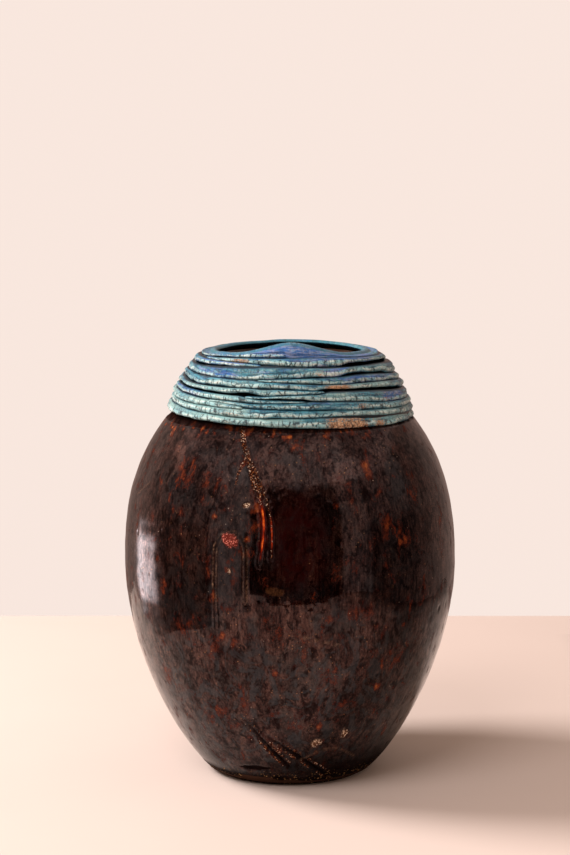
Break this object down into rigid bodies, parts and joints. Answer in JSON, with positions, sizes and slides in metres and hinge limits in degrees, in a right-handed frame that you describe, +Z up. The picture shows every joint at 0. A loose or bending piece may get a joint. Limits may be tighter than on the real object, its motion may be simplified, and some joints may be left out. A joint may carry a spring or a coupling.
{
  "type": "stoneware vase",
  "caption": "Full-bellied stoneware vase with a dark glossy glaze and a raised collar of hand-rolled turquoise clay strips around the mouth.",
  "frame": {"origin": "centre of the foot, on the table surface", "axes": "+Z up along the vase's axis; -Y is the front, towards the viewer, under the hump in the rim; +X is the viewer's right"},
  "size_m": [0.1844, 0.1844, 0.243],
  "materials": {
    "body_glaze": "dark brown-black glossy glaze with rust flecks, pits and a crusty crack",
    "strip_glaze": "turquoise and pale mint satin-gloss glaze, cream where it breaks over the rolled edges",
    "rim_glaze": "teal, cobalt and violet-blue satin-gloss glaze"
  },
  "bodies": {
    "root": {"body": "body_glaze", "collar_strip_01": "strip_glaze", "collar_strip_02": "strip_glaze", "collar_strip_03": "strip_glaze", "collar_strip_04": "strip_glaze", "collar_strip_05": "strip_glaze", "collar_strip_06": "strip_glaze", "collar_strip_07": "strip_glaze", "collar_strip_08": "strip_glaze", "collar_strip_09": "strip_glaze", "collar_strip_10": "strip_glaze", "collar_strip_11": "strip_glaze", "collar_strip_12": "strip_glaze", "rim_strip": "rim_glaze"}
  },
  "joints": []
}
